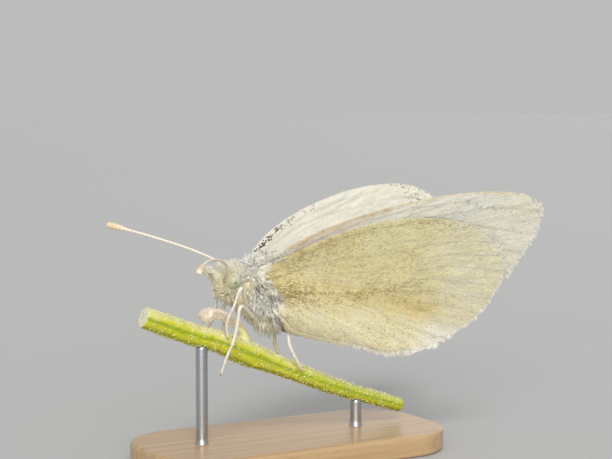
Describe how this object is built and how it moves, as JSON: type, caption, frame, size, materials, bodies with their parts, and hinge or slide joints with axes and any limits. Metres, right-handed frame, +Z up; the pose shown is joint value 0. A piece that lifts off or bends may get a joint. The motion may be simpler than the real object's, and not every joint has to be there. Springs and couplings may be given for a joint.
{
  "type": "small white butterfly model on a cut stem",
  "caption": "Life-size still model of a small white butterfly with half-raised wings, gripping a cut plant stem held by two rods over a flat base.",
  "frame": {"origin": "centre of the base's underside", "axes": "+Z up; the butterfly faces -X, its mid plane is Y = 0 and its left side is -Y"},
  "size_m": [0.0336, 0.0174, 0.0216],
  "materials": {
    "body_hair": "long pale hair, cream and blue-grey with black flecks",
    "eye": "glossy pale green with dark spots",
    "forewing": "matt scaled white, greyish and pink along the front edge",
    "hindwing": "matt scaled pale yellow, dusted dark olive",
    "feeler": "ringed pinkish cream with a tan club",
    "leg": "cream, finely bristled",
    "stem": "ridged yellow-green stem with pale hairs",
    "stand_wood": "satin pale wood",
    "stand_steel": "brushed steel"
  },
  "bodies": {
    "root": {"head": "body_hair", "thorax": "body_hair", "abdomen": "body_hair", "palp_left": "body_hair", "palp_right": "body_hair", "eye_left": "eye", "eye_right": "eye", "forewing_left": "forewing", "forewing_right": "forewing", "hindwing_left": "hindwing", "hindwing_right": "hindwing", "antenna_left": "feeler", "antenna_right": "feeler", "leg_fore_left": "leg", "leg_fore_right": "leg", "leg_mid_left": "leg", "leg_mid_right": "leg", "leg_hind_left": "leg", "leg_hind_right": "leg", "perch_stem": "stem", "stand_base": "stand_wood", "stand_rod_head": "stand_steel", "stand_rod_tail": "stand_steel"}
  },
  "joints": []
}
